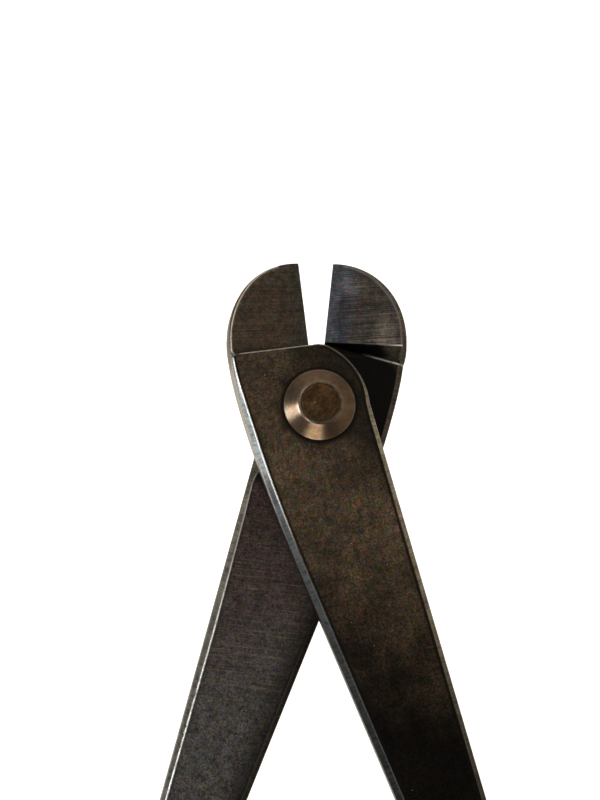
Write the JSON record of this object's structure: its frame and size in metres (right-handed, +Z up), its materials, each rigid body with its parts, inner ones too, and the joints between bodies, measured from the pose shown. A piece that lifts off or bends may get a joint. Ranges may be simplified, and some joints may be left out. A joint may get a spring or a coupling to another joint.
{
  "type": "riveted wire and stem cutter",
  "caption": "Hand cutter with two lapped, blackened forged levers on a cone-headed rivet: round head, straight nipper jaws slightly open, long bowed flat handles.",
  "frame": {"origin": "centre of the rivet's front flat, on the pivot axis", "axes": "+Z up along the tool towards the jaw tips, midway between the open edges; +X to the rear lever's jaw; +Y along the pivot axis from the front to the back"},
  "size_m": [0.0866, 0.0167, 0.2015],
  "materials": {
    "lever_steel": "dark brown-black oxide over ground steel, edges worn bright",
    "rivet_steel": "turned and ground, brown oxide, satin"
  },
  "bodies": {
    "front_half": {"front_lever": "lever_steel", "rivet_pin": "rivet_steel", "front_collar": "rivet_steel", "rear_collar": "rivet_steel"},
    "rear_half": {"rear_lever": "lever_steel"}
  },
  "joints": [
    {"name": "rivet_hinge", "type": "hinge", "parent": "front_half", "child": "rear_half", "pos_m": [0, 0.00835, 0], "axis": [0, 1, 0], "range_deg": [-13.1, 75]}
  ]
}
